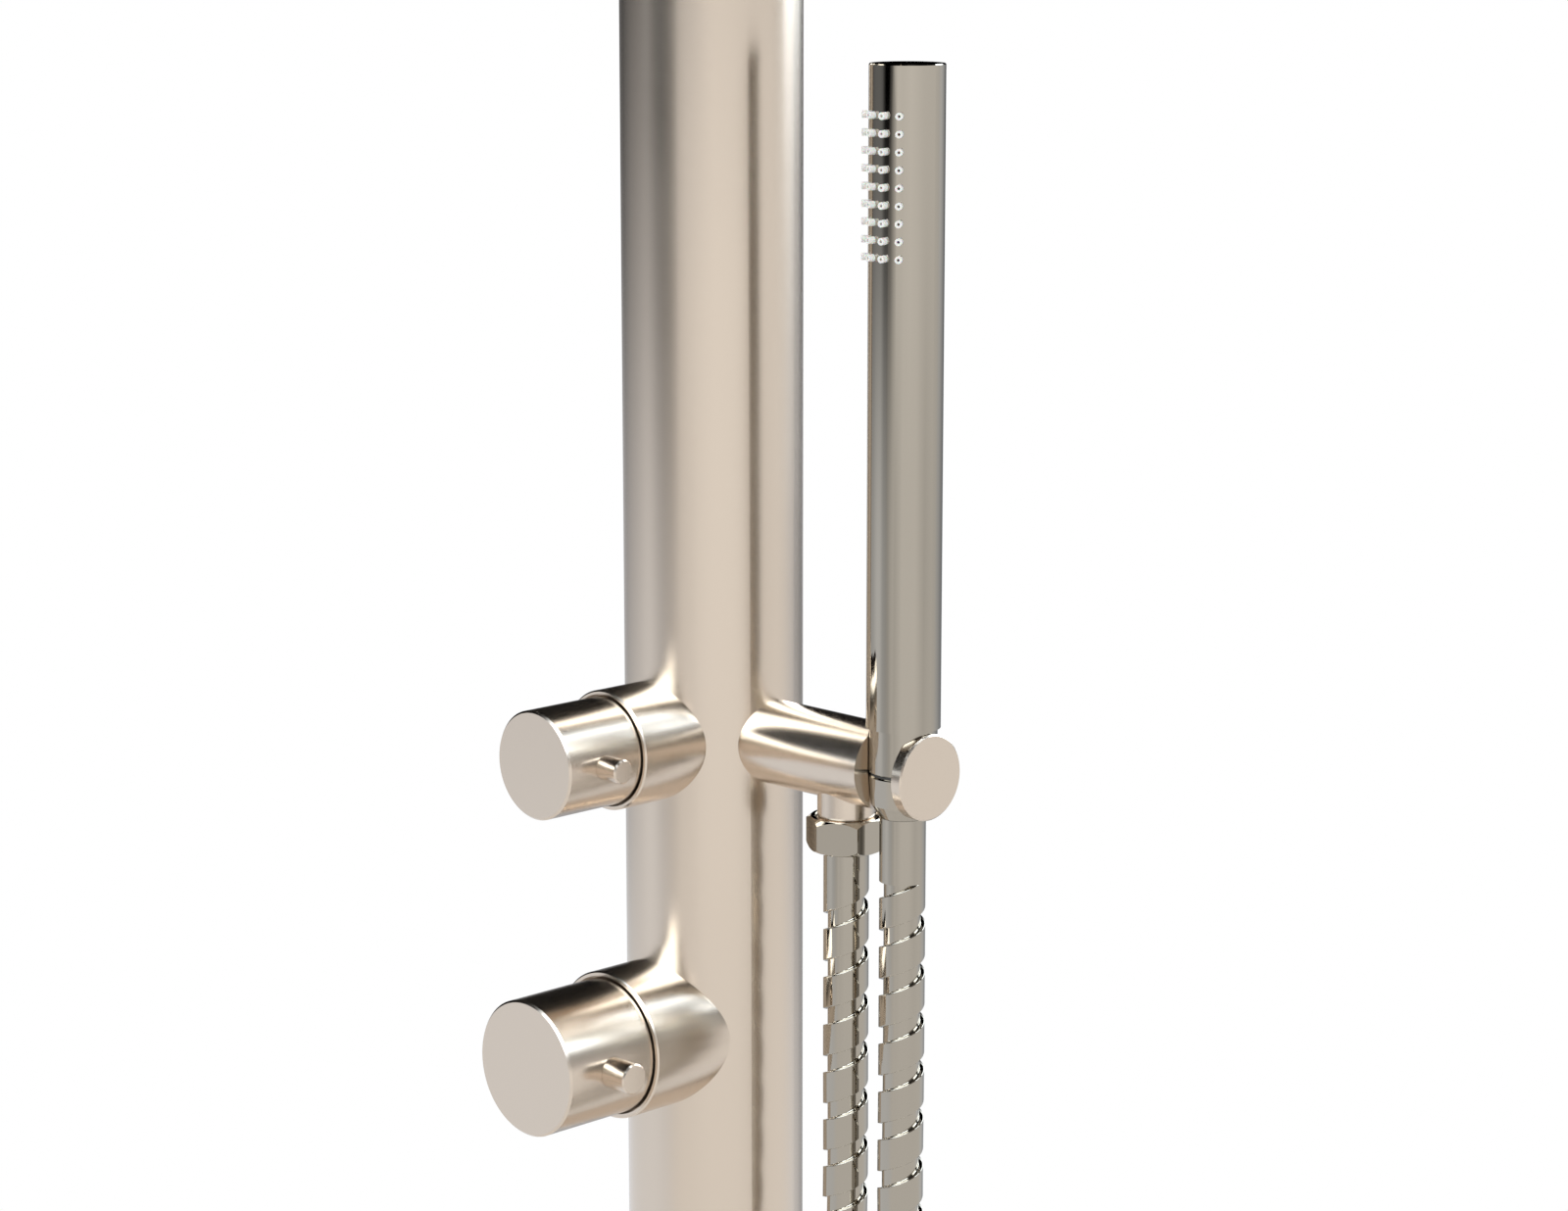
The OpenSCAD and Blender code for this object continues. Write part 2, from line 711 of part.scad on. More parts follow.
module shower_hose() {
    points = concat(
        [for (j = [0 : hose_sides - 1]) for (q = columns[j])
            skin(q[0], full_turn * j / hose_sides, q[1])],
        [for (i = [0 : bore_rings]) for (j = [0 : hose_sides - 1])
            skin(hose_l * i / bore_rings, full_turn * j / hose_sides, hose_bore_r)]);
    // Between neighbouring columns the rows match one to one
    sides = [for (j = [0 : hose_sides - 2]) for (i = [0 : rows - 2]) for (half = [0, 1]) half == 0
        ? [skin_id(j, i), skin_id(j, i + 1), skin_id(j + 1, i)]
        : [skin_id(j, i + 1), skin_id(j + 1, i + 1), skin_id(j + 1, i)]];
    // From the last column to the first they are one turn apart
    last = hose_sides - 1;
    seam = [for (i = [1 : rows - 7]) for (half = [0, 1]) half == 0
        ? [skin_id(last, i), skin_id(last, i + 1), skin_id(0, i + 4)]
        : [skin_id(last, i + 1), skin_id(0, i + 5), skin_id(0, i + 4)]];
    seam_start = concat([[skin_id(last, 0), skin_id(last, 1), skin_id(0, 0)]],
        [for (i = [0 : 4]) [skin_id(last, 1), skin_id(0, i + 1), skin_id(0, i)]]);
    seam_end = concat([for (i = [rows - 6 : rows - 2])
            [skin_id(last, i), skin_id(last, i + 1), skin_id(0, rows - 2)]],
        [[skin_id(last, rows - 1), skin_id(0, rows - 1), skin_id(0, rows - 2)]]);
    inside = [for (i = [0 : bore_rings - 1]) for (j = [0 : hose_sides - 1]) for (half = [0, 1]) half == 0
        ? [bore_id(j, i), bore_id(j + 1, i), bore_id(j, i + 1)]
        : [bore_id(j + 1, i), bore_id(j + 1, i + 1), bore_id(j, i + 1)]];
    ends = [for (j = [0 : hose_sides - 1]) for (half = [0, 1]) for (top = [0, 1]) let (
            a = skin_id(j, top * (rows - 1)), b = skin_id(j + 1, top * (rows - 1)),
            c = bore_id(j, top * bore_rings), d = bore_id(j + 1, top * bore_rings))
        half == 0 ? (top == 0 ? [a, b, c] : [b, a, c]) : (top == 0 ? [b, d, c] : [d, b, c])];
    color("gray") translate([0, 0, arm_h])
        polyhedron(points, concat(sides, seam, seam_start, seam_end, inside, ends));
}

// Clear distance between the two hanging stretches, measured on the centre line
apart = 60;
clear_gap = min([for (i = [0 : len(line) - 1]) for (k = [i + apart : 1 : len(line) - 1])
    norm(line[i] - line[k])]) - hose_d;
echo(hose_length = hose_l, hose_turn = turn_l, least_gap = clear_gap);

// Hand shower

module hose_sleeve() {
    collar_top = spigot_low - cone_washer_t - seat;
    color("gray") at_shower() difference() {
        union() {
            rod(hose_r, sleeve_end, cone_end - seat);
            rod(sleeve_neck_r, sleeve_end, collar_top);
            rod(sleeve_collar_r, collar_top - sleeve_collar_t, collar_top);
        }
        rod(hose_bore_r, sleeve_end - over, 0);
    }
}

module cone_nut() {
    lip_top = spigot_low - cone_washer_t - sleeve_collar_t - 2 * seat;
    color("gray") at_shower() difference() {
        rotate_extrude() polygon([[0, cone_end], [hose_r, cone_end], [cone_low_r, cone_low],
            [cone_top_r, cone_top - edge], [cone_top_r - edge, cone_top], [0, cone_top]]);
        rod(spigot_r + fit, spigot_low - cone_washer_t, over);
        rod(sleeve_collar_r + seat, lip_top, 0);
        rod(sleeve_neck_r + fit, cone_end - over, 0);
    }
}

module cone_washer() {
    color("dimgray") at_shower()
        pipe(spigot_r - edge, hose_bore_r, spigot_low - cone_washer_t, spigot_low);
}

module neck_ring() {
    color("black") at_shower() pipe(neck_r - ring_in, spigot_r + fit, cone_top, neck_low);
}

module shower_neck() {
    color("gray") at_shower() difference() {
        union() {
            rod(spigot_r, spigot_low, neck_low);
            bar(neck_r, neck_low, tube_low, edge / 2, 0);
            bar(tube_in_r - fit, tube_low, tube_low + plug_h, 0, edge);
        }
        rod(water_r, spigot_low - over, tube_low + plug_h + over);
    }
}

// Every nozzle's place and direction on the hand shower's tube
module each_nozzle() {
    for (row = [0 : nozzle_rows - 1]) {
        for (column = [0 : nozzle_columns - 1]) {
            translate([0, 0, tube_top - nozzle_top - row * nozzle_pitch])
                rotate([0, quarter, spray_turn - quarter
                    + (column - (nozzle_columns - 1) / 2) * nozzle_angle]) children();
        }
    }
}

module shower_tube() {
    color("gray") at_shower() difference() {
        pipe(tube_r, tube_in_r, tube_low, tube_top - shower_cap_t);
        each_nozzle() cylinder(d = nozzle_d + 2 * fit, h = tube_d, $fn = 24);
    }
}

mat_high = tube_top - nozzle_top + mat_margin;
mat_low = tube_top - nozzle_top - (nozzle_rows - 1) * nozzle_pitch - mat_margin;
mat_sweep = (nozzle_columns - 1) * nozzle_angle + 2 * mat_edge_angle;

module shower_nozzles() {
    mat_in = tube_in_r - fit - mat_t;
    color("white") at_shower() difference() {
        union() {
            rotate([0, 0, spray_turn - quarter - mat_sweep / 2])
                rotate_extrude(angle = mat_sweep) translate([mat_in, mat_low])
                square([mat_t, mat_high - mat_low]);
            each_nozzle() rod_fine(nozzle_d / 2, mat_in + mat_t / 2, tube_r + nozzle_h);
        }
        each_nozzle() rod_fine(nozzle_hole_d / 2, mat_in - over, tube_r + nozzle_h + over);
    }
}
module rod_fine(r, low, high) {
    translate([0, 0, low]) cylinder(r = r, h = high - low, $fn = 24);
}

// The plastic waterway, with a window behind the nozzles
module shower_liner() {
    liner_r = tube_in_r - fit - mat_t - liner_gap;
    color("whitesmoke") at_shower() difference() {
        pipe(liner_r, liner_r - liner_wall, tube_low + plug_h, tube_top - shower_cap_t - shower_plug_h);
        translate([-liner_r / 2, -tube_d, mat_low + mat_margin])
            cube([liner_r, tube_d, mat_high - mat_low - 2 * mat_margin]);
    }
}

module shower_cap() {
    plug_low = tube_top - shower_cap_t - shower_plug_h;
    color("gray") at_shower() {
        bar(tube_in_r - fit, plug_low, tube_top - shower_cap_t, edge, 0);
        bar(tube_r, tube_top - shower_cap_t, tube_top, 0, shower_cap_bevel);
    }
}

// Rain head

module riser_elbow() {
    color("darkgoldenrod") difference() {
        translate([-elbow_w / 2, -elbow_w / 2, head_arm_h - elbow_h / 2])
            cube([elbow_w, elbow_w, elbow_h]);
        to_front(head_arm_h) {
            rod(head_arm_r + fit, elbow_w / 2 - elbow_socket, elbow_w);
            rod(head_arm_r - head_arm_wall, -port_r, elbow_w);
        }
        translate([0, 0, head_arm_h - elbow_h / 2]) {
            rod(pipe_r + fit, -over, pipe_socket);
            rod(pipe_bore_r, -over, elbow_h / 2);
        }
    }
}

// The arm's straight run, bend and tail, at a given radius
module head_arm_run(r, low) {
    to_front(head_arm_h) rod(r, elbow_w / 2 - elbow_socket, head_reach - head_bend_r);
    translate([0, head_bend_r - head_reach, head_arm_h - head_bend_r])
        rotate([quarter, 0, -quarter]) rotate_extrude(angle = quarter)
        translate([head_bend_r, 0]) circle(r = r);
    translate([0, -head_reach, 0]) rod(r, low, head_arm_h - head_bend_r);
}

module head_arm() {
    color("tan") difference() {
        union() {
            head_arm_run(head_arm_r, tail_low);
            translate([0, -head_reach, 0])
                bar(tail_nipple_r, tail_low - tail_nipple_l, tail_low + over, edge, 0);
        }
        head_arm_run(head_arm_r - head_arm_wall, tail_low + tail_web);
        to_front(head_arm_h) rod(head_arm_r - head_arm_wall, 0, elbow_w / 2);
        translate([0, -head_reach, 0]) rod(water_r, tail_low - tail_nipple_l - over,
            tail_low + tail_web + over);
    }
}

module at_head() { translate([0, -head_reach, 0]) children(); }

module swivel_nut() {
    color("tan") at_head() difference() {
        nut_blank(swivel_flats, ball_h - swivel_lip, swivel_top, ball_r + over, nut_chamfer, nut_chamfer);
        rod(tail_nipple_r + fit, ball_h + ball_cut - edge, swivel_top + over);
        rod(ball_r + fit, ball_h, swivel_top);
        translate([0, 0, ball_h]) sphere(r = ball_r + fit);
    }
}

module ball_seal() {
    color("dimgray") at_head() difference() {
        rod(ball_r - edge, ball_h + ball_cut, tail_low - tail_nipple_l);
        rod(water_r, 0, tail_low);
        translate([0, 0, ball_h]) sphere(r = ball_r + fit);
    }
}

module swivel_ball() {
    color("silver") at_head() difference() {
        union() {
            intersection() {
                translate([0, 0, ball_h]) sphere(r = ball_r);
                rod(ball_r, ball_h - ball_r, ball_h + ball_cut);
            }
            rod(stem_r, stem_low - boss_h / 2, ball_h);
        }
        rod(channel_r, 0, ball_h + ball_r);
    }
}

module head_shell() {
    head_r = head_d / 2;
    color("tan") at_head() difference() {
        rotate_extrude() polygon([[0, rim_low + plate_t], [head_r, rim_low + plate_t],
            [head_r, rim_top - edge], [head_r - edge, rim_top], [boss_r + boss_h, stem_low],
            [boss_r, stem_low + edge], [boss_r - edge, crown_top], [0, crown_top]]);
        rotate_extrude() polygon([[0, rim_low], [head_r - shell_wall, rim_low],
            [head_r - shell_wall, rim_top - 2 * shell_wall],
            [boss_r, stem_low - 2 * shell_wall], [0, stem_low - 2 * shell_wall]]);
        rod(stem_r + fit, rim_low, crown_top + over);
    }
}

// Every nozzle's place on the rain head
module each_head_nozzle() {
    for (ring = [1 : head_rings]) {
        for (i = [0 : 6 * ring - 1]) {
            rotate([0, 0, full_turn * i / (6 * ring)]) translate([ring * head_nozzle_gap, 0, 0]) children();
        }
    }
}

module head_nozzles() {
    mat_low = rim_low + plate_t;
    color("white") at_head() {
        difference() {
            union() {
                rod(head_d / 2 - shell_wall - edge, mat_low, mat_low + head_mat_t);
                each_head_nozzle() rod_fine(head_nozzle_d / 2, rim_low - head_nozzle_h,
                    mat_low + head_mat_t / 2);
            }
            each_head_nozzle() rod_fine(head_nozzle_hole_d / 2, rim_low - head_nozzle_h - over,
                mat_low + head_mat_t + over);
        }
    }
}

module head_plate() {
    color("tan") at_head() difference() {
        rod(head_d / 2, rim_low, rim_low + plate_t);
        each_head_nozzle() rod_fine(head_nozzle_d / 2 + fit, rim_low - over, rim_low + plate_t + over);
    }
}

base_plate();
post_tube();
top_cap();
mixer_collar();
diverter_collar();
hot_inlet();
cold_inlet();
hot_pipe();
cold_pipe();
link_pipe();
riser_pipe();
mixer_body();
mixer_cartridge();
mixer_seals();
mixer_bonnet();
mixer_spindle();
mixer_knob();
mixer_pin();
mixer_screw();
diverter_body();
diverter_cartridge();
diverter_seals();
diverter_bonnet();
diverter_spindle();
diverter_knob();
diverter_pin();
diverter_screw();
holder_arm();
arm_washer();
hose_outlet();
check_valve();
hose_nut();
hose_washer();
hose_collar();
shower_hose();
hose_sleeve();
cone_nut();
cone_washer();
neck_ring();
shower_neck();
shower_tube();
shower_liner();
shower_nozzles();
shower_cap();
riser_elbow();
head_arm();
swivel_nut();
ball_seal();
swivel_ball();
head_shell();
head_nozzles();
head_plate();
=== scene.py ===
"""Outdoor shower post: finishes, hose, floor, light and camera round the CAD frame."""
import json
import math

import bpy
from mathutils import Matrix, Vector


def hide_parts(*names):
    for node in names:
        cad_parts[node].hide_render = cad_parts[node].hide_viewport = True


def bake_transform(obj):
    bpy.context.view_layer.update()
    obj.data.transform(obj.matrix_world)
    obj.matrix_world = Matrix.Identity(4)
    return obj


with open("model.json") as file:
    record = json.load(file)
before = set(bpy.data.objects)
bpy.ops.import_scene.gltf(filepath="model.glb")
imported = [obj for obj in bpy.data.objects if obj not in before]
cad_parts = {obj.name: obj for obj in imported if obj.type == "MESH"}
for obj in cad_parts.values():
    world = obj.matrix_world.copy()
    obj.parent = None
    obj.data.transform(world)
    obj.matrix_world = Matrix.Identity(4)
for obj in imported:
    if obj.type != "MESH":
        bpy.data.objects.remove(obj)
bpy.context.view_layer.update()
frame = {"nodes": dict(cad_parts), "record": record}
nodes = frame["nodes"]
scene = bpy.context.scene
mm = 0.001

# Camera

# The camera was fitted to the photograph's edges: metres, and degrees round the post
PHOTO_WIDTH = 1600         # pixels
LENS_PIXELS = 3740.62      # focal length in those pixels
VIEW_AZIMUTH = math.radians(45.7701)
VIEW_PITCH = math.radians(11.1832)
STAND_AZIMUTH = math.radians(46.8912)
STAND_DISTANCE = 1.20589
STAND_HEIGHT = 1.38010

lens = bpy.data.cameras.new("camera")
lens.sensor_width = 36.0
lens.sensor_fit = "HORIZONTAL"
lens.lens = LENS_PIXELS * lens.sensor_width / PHOTO_WIDTH
lens.clip_start = 0.02
lens.clip_end = 60.0
camera = bpy.data.objects.new("camera", lens)
camera.location = (STAND_DISTANCE * math.sin(STAND_AZIMUTH),
                   -STAND_DISTANCE * math.cos(STAND_AZIMUTH), STAND_HEIGHT)
camera.rotation_euler = (math.radians(90) - VIEW_PITCH, 0.0, VIEW_AZIMUTH)
scene.collection.objects.link(camera)
scene.camera = camera

# Hose

ARM_HEIGHT = 1100.0
# The centre line in millimetres, its heights measured from the arm
HOSE_ROUTE = [
    (63, 0, -31), (63, 0, -50), (63, 0, -100), (63, 0, -150), (63, -2, -200),
    (62, -6, -260), (61, -13, -320), (60, -22, -380), (58, -32, -440),
    (56, -42, -500), (55, -51, -560), (54, -57, -610), (54, -60, -650),
    (57, -52, -682), (65, -30, -705), (76, 0, -714), (87, 30, -705),
    (95, 52, -682), (98, 60, -650), (98, 57, -610), (97, 51, -560),
    (96, 42, -500), (94, 32, -440), (92, 22, -380), (91, 13, -320),
    (90, 6, -260), (89, 2, -200), (88.5, 0, -150), (88.5, 0, -100),
    (88.5, 0, -51), (88.5, 0, -36)]
LOOP_ANGLE = math.radians(70)
HOSE_RADIUS = 7.5
HOSE_BORE = 4.0            # radius of the bore
HOSE_LEAD = 7.6            # plain length before the first groove
HOSE_TRAIL = 6.0           # plain length after the last one
HOSE_TURNS = 87.18
# One groove along the hose: distance from its start, and radius there
GROOVE = [(-0.50, 7.50), (-0.20, 7.50), (-0.06, 7.44), (0.02, 7.30), (0.08, 6.10),
          (0.20, 6.0), (0.45, 6.0), (5.25, 6.0), (5.50, 6.0), (5.62, 6.10), (5.68, 7.30),
          (5.76, 7.44), (5.90, 7.50), (6.20, 7.50)]
HOSE_SIDES = 40
CURVE_STEPS = 24           # points of the centre line for each point of the route
BORE_RINGS = 120
PATH_STEP = 6              # every sixth point of the centre line makes the cord's path
HEADING_REACH = 0.5        # how far to each side the centre line's direction is taken
MERGE_DISTANCE = 2e-6      # metres
SMOOTH_ANGLE = 40          # sharper edges than this stay sharp, in degrees


def smooth_line(points, steps):
    """A smooth curve through the points, as closely spaced points."""
    points = [Vector(p) for p in points]
    line = []
    for i in range(len(points) - 1):
        a, b = points[max(i - 1, 0)], points[i]
        c, d = points[i + 1], points[min(i + 2, len(points) - 1)]
        for k in range(steps):
            t = k / steps
            line.append((2 * b + (c - a) * t + (2 * a - 5 * b + 4 * c - d) * t * t
                         + (3 * b - 3 * c + d - a) * t ** 3) / 2)
    line.append(points[-1])
    return line


def measured(line):
    """The distance along the line at each of its points."""
    marks = [0.0]
    for a, b in zip(line, line[1:]):
        marks.append(marks[-1] + (b - a).length)
    return marks


def make_hose():
    """The strip-wound hose, its length and its path, all from the route's points."""
    line = smooth_line(HOSE_ROUTE, CURVE_STEPS)
    marks = measured(line)
    length = marks[-1]
    turn = (length - HOSE_TRAIL - HOSE_LEAD) / HOSE_TURNS
    normal_plane = Vector((-math.sin(LOOP_ANGLE), math.cos(LOOP_ANGLE), 0))

    def at(s):
        """The point of the centre line at a distance from its start."""
        s = min(max(s, 0.0), length)
        low, high = 0, len(marks) - 1
        while high - low > 1:
            mid = (low + high) // 2
            if marks[mid] <= s:
                low = mid
            else:
                high = mid
        share = (s - marks[low]) / (marks[high] - marks[low])
        return line[low].lerp(line[high], share)

    def skin(s, angle, radius):
        """A point at a radius from the centre line, in metres."""
        way = (at(s + HEADING_REACH) - at(s - HEADING_REACH)).normalized()
        out = (normal_plane - way * normal_plane.dot(way)).normalized()
        side = way.cross(out)
        p = at(s) + radius * (math.cos(angle) * out + math.sin(angle) * side)
        return (p.x * mm, p.y * mm, (p.z + ARM_HEIGHT) * mm)

    grooves = int(HOSE_TURNS) + 2
    per_groove = len(GROOVE)
    rows = grooves * per_groove + 2

    def end_radius(j):
        """Radius of the strip where the sleeve cuts it off."""
        for k in range(grooves):
            past = length - (HOSE_LEAD + turn * (k + j / HOSE_SIDES))
            if GROOVE[0][0] <= past <= GROOVE[-1][0]:
                for (s0, r0), (s1, r1) in zip(GROOVE, GROOVE[1:]):
                    if s0 <= past <= s1:
                        return r0 + (r1 - r0) * (past - s0) / (s1 - s0)
        return HOSE_RADIUS

    points, faces = [], []
    for j in range(HOSE_SIDES):
        angle = 2 * math.pi * j / HOSE_SIDES
        points.append(skin(0, angle, HOSE_RADIUS))
        for k in range(grooves):
            start = HOSE_LEAD + turn * (k + j / HOSE_SIDES)
            for along, radius in GROOVE:
                s = start + along
                if s >= length:
                    s, radius = length, end_radius(j)
                points.append(skin(s, angle, radius))
        points.append(skin(length, angle, end_radius(j)))
    for j in range(HOSE_SIDES - 1):
        for i in range(rows - 1):
            a, b = j * rows + i, (j + 1) * rows + i
            faces.append((a, b, b + 1, a + 1))
    last, shift = (HOSE_SIDES - 1) * rows, per_groove
    faces.append((last, 0, last + 1))
    faces += [(last + 1, i, i + 1) for i in range(shift + 1)]
    for i in range(1, rows - 1 - shift - 1):
        faces.append((last + i, i + shift, i + shift + 1, last + i + 1))
    end = rows - 2
    faces += [(last + i, end, last + i + 1) for i in range(rows - 1 - shift - 1, rows - 2)]
    faces += [(last + end, end, end + 1, last + end + 1)]
    # The bore, and the flat rings that close both ends
    base = len(points)
    for i in range(BORE_RINGS + 1):
        for j in range(HOSE_SIDES):
            points.append(skin(length * i / BORE_RINGS, 2 * math.pi * j / HOSE_SIDES, HOSE_BORE))
    for i in range(BORE_RINGS):
        for j in range(HOSE_SIDES):
            a, b = base + i * HOSE_SIDES + j, base + i * HOSE_SIDES + (j + 1) % HOSE_SIDES
            faces.append((a, a + HOSE_SIDES, b + HOSE_SIDES, b))
    for j in range(HOSE_SIDES):
        k = (j + 1) % HOSE_SIDES
        faces.append((base + j, base + k, k * rows, j * rows))
        top = base + BORE_RINGS * HOSE_SIDES
        faces.append((j * rows + rows - 1, k * rows + rows - 1, top + k, top + j))
    mesh = bpy.data.meshes.new("strip_hose")
    mesh.from_pydata(points, [], faces)
    hose = bpy.data.objects.new("strip_hose", mesh)
    scene.collection.objects.link(hose)
    path = [(p.x * mm, p.y * mm, (p.z + ARM_HEIGHT) * mm) for p in line[::PATH_STEP] + [line[-1]]]
    return hose, length * mm, path


def pick(obj):
    """Makes this the only selected object, and the active one."""
    bpy.ops.object.select_all(action="DESELECT")
    obj.select_set(True)
    bpy.context.view_layer.objects.active = obj


def tidy_mesh(obj):
    """Merges doubled points, turns the faces outwards and smooths all but sharp edges."""
    pick(obj)
    bpy.ops.object.mode_set(mode="EDIT")
    bpy.ops.mesh.select_all(action="SELECT")
    bpy.ops.mesh.remove_doubles(threshold=MERGE_DISTANCE)
    bpy.ops.mesh.normals_make_consistent(inside=False)
    bpy.ops.object.mode_set(mode="OBJECT")
    bpy.ops.object.shade_smooth_by_angle(angle=math.radians(SMOOTH_ANGLE))


hose, hose_length, hose_path = make_hose()
tidy_mesh(hose)
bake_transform(hose)
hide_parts("shower_hose")

# Finishes
# How far the product of the two noises runs, from the glossiest to the dullest place
GLOSS_DRIFT = (0.1, 0.45)


def graph(owner):
    """The emptied node tree of a material or a world."""
    owner.use_nodes = True
    tree = owner.node_tree
    tree.nodes.clear()
    return tree


def add(tree, kind, inputs=(), **settings):
    """A new shader node, with its inputs set or linked."""
    node = tree.nodes.new("ShaderNode" + kind)
    for name, value in settings.items():
        setattr(node, name, value)
    for name, value in dict(inputs).items():
        socket = node.inputs[name]
        if isinstance(value, bpy.types.NodeSocket):
            tree.links.new(value, socket)
        else:
            socket.default_value = value
    return node


def finish_of(name, colour, colour_spread, metallic, roughness, roughness_spread,
              grain, grain_depth, patch=14.0, stretch=(1, 1, 1), **sockets):
    """A finish whose colour and gloss drift a little and whose surface has a fine grain."""
    material = bpy.data.materials.new(name)
    tree = graph(material)
    where = add(tree, "TexCoord").outputs["Object"]
    stretched = add(tree, "Mapping", {"Vector": where, "Scale": stretch}).outputs["Vector"]
    drift = add(tree, "TexNoise", {"Vector": where, "Scale": patch, "Detail": 3.0}).outputs["Fac"]
    fine = add(tree, "TexNoise", {"Vector": stretched, "Scale": grain, "Detail": 4.0,
                                  "Roughness": 0.6}).outputs["Fac"]
    low = [max(0.0, c - colour_spread) for c in colour] + [1.0]
    high = [min(1.0, c + colour_spread) for c in colour] + [1.0]
    tone = add(tree, "Mix", data_type="RGBA")
    tree.links.new(drift, tone.inputs[0])
    tone.inputs[6].default_value, tone.inputs[7].default_value = low, high
    both = add(tree, "Math", {0: drift, 1: fine}, operation="MULTIPLY")
    gloss = add(tree, "MapRange", {"Value": both.outputs[0], "From Min": GLOSS_DRIFT[0],
                                   "From Max": GLOSS_DRIFT[1],
                                   "To Min": roughness - roughness_spread,
                                   "To Max": roughness + roughness_spread})
    bump = add(tree, "Bump", {"Height": fine, "Strength": 1.0, "Distance": grain_depth})
    shader = add(tree, "BsdfPrincipled", {"Base Color": tone.outputs[2], "Metallic": metallic,
                                          "Roughness": gloss.outputs[0],
                                          "Normal": bump.outputs[0], **sockets})
    out = add(tree, "OutputMaterial")
    tree.links.new(shader.outputs[0], out.inputs["Surface"])
    return material


satin_nickel = finish_of("satin_nickel", (0.71, 0.61, 0.51), 0.012, 1.0, 0.235, 0.03,
                         2600.0, 0.000012)
polished_nickel = finish_of("polished_nickel", (0.43, 0.39, 0.33), 0.010, 1.0, 0.05, 0.02,
                            900.0, 0.0000006)
cast_brass = finish_of("cast_brass", (0.62, 0.44, 0.18), 0.03, 1.0, 0.32, 0.08, 1400.0, 0.00001)
copper_pipe = finish_of("copper_pipe", (0.72, 0.36, 0.22), 0.04, 1.0, 0.26, 0.08, 700.0,
                        0.000006, stretch=(1, 1, 0.1))
plain_steel = finish_of("plain_steel", (0.56, 0.55, 0.53), 0.02, 1.0, 0.25, 0.05, 1800.0,
                        0.000004)
moulded_plastic = finish_of("moulded_plastic", (0.78, 0.78, 0.75), 0.02, 0.0, 0.45, 0.06,
                            2200.0, 0.00001)
black_rubber = finish_of("black_rubber", (0.05, 0.048, 0.045), 0.006, 0.0, 0.6, 0.08, 2600.0,
                         0.00002)
white_silicone = finish_of("white_silicone", (0.88, 0.87, 0.85), 0.02, 0.0, 0.4, 0.06, 3200.0,
                           0.000006, **{"Subsurface Weight": 0.25, "Subsurface Scale": 0.002})
FINISHES = {"satin_nickel": satin_nickel, "polished_nickel": polished_nickel,
            "cast_brass": cast_brass, "copper_pipe": copper_pipe, "plain_steel": plain_steel,
            "moulded_plastic": moulded_plastic, "black_rubber": black_rubber,
            "white_silicone": white_silicone}


def put_on(obj, material):
    """Gives the object this one material."""
    obj.data.materials.clear()
    obj.data.materials.append(material)


for part in frame["record"]["subparts"]:
    put_on(nodes[part["node"]], FINISHES[part["material_slot"]])
put_on(hose, polished_nickel)

# Floor, light and room
FLOOR_RADIUS = 1.6
FLOOR_DROP = 0.0005        # how far the floor lies under the base plate
FLOOR_SIDES = 128
FLOOR_COLOUR = (0.85, 0.85, 0.85, 1.0)
FLOOR_FADE = (0.5, 1.5)    # from here to here the floor fades into the white background


def make_floor():
    """A round pale floor that fades out, so that no edge of it shows."""
    bpy.ops.object.select_all(action="DESELECT")
    bpy.ops.mesh.primitive_circle_add(vertices=FLOOR_SIDES, radius=FLOOR_RADIUS,
                                      fill_type="NGON", location=(0, 0, -FLOOR_DROP))
    floor = bpy.context.object
    floor.name = "studio_floor"
    material = bpy.data.materials.new("studio_floor")
    tree = graph(material)
    where = add(tree, "TexCoord").outputs["Object"]
    far = add(tree, "VectorMath", {0: where}, operation="LENGTH").outputs["Value"]
    fade = add(tree, "MapRange", {"Value": far, "From Min": FLOOR_FADE[0],
                                  "From Max": FLOOR_FADE[1]},
               interpolation_type="SMOOTHSTEP").outputs[0]
    matt = add(tree, "BsdfDiffuse", {"Color": FLOOR_COLOUR})
    clear = add(tree, "BsdfTransparent")
    mix = add(tree, "MixShader", {"Fac": fade})
    tree.links.new(matt.outputs[0], mix.inputs[1])
    tree.links.new(clear.outputs[0], mix.inputs[2])
    out = add(tree, "OutputMaterial")
    tree.links.new(mix.outputs[0], out.inputs["Surface"])
    put_on(floor, material)


def math_node(tree, operation, a, b=0.0):
    """The result of one sum, where each side is a number or another node's result."""
    return add(tree, "Math", {0: a, 1: b}, operation=operation).outputs[0]


def rise(tree, value, low, high):
    """0 at low and 1 at high, smooth between them; high may be below low."""
    way = {"From Min": low, "From Max": high} if low < high else \
        {"From Min": high, "From Max": low, "To Min": 1.0, "To Max": 0.0}
    return add(tree, "MapRange", {"Value": value, **way},
               interpolation_type="SMOOTHSTEP").outputs[0]


def panel(tree, turn, height, sides, ends, soft):
    """Where a panel of the studio stands: 1 inside its sides and ends, and 0 outside."""
    parts = [rise(tree, turn, sides[0] - soft[0], sides[0] + soft[0]),
             rise(tree, turn, sides[1] + soft[0], sides[1] - soft[0]),
             rise(tree, height, ends[0] - soft[1], ends[0] + soft[1]),
             rise(tree, height, ends[1] + soft[1], ends[1] - soft[1])]
    inside = parts[0]
    for part in parts[1:]:
        inside = math_node(tree, "MULTIPLY", inside, part)
    return inside


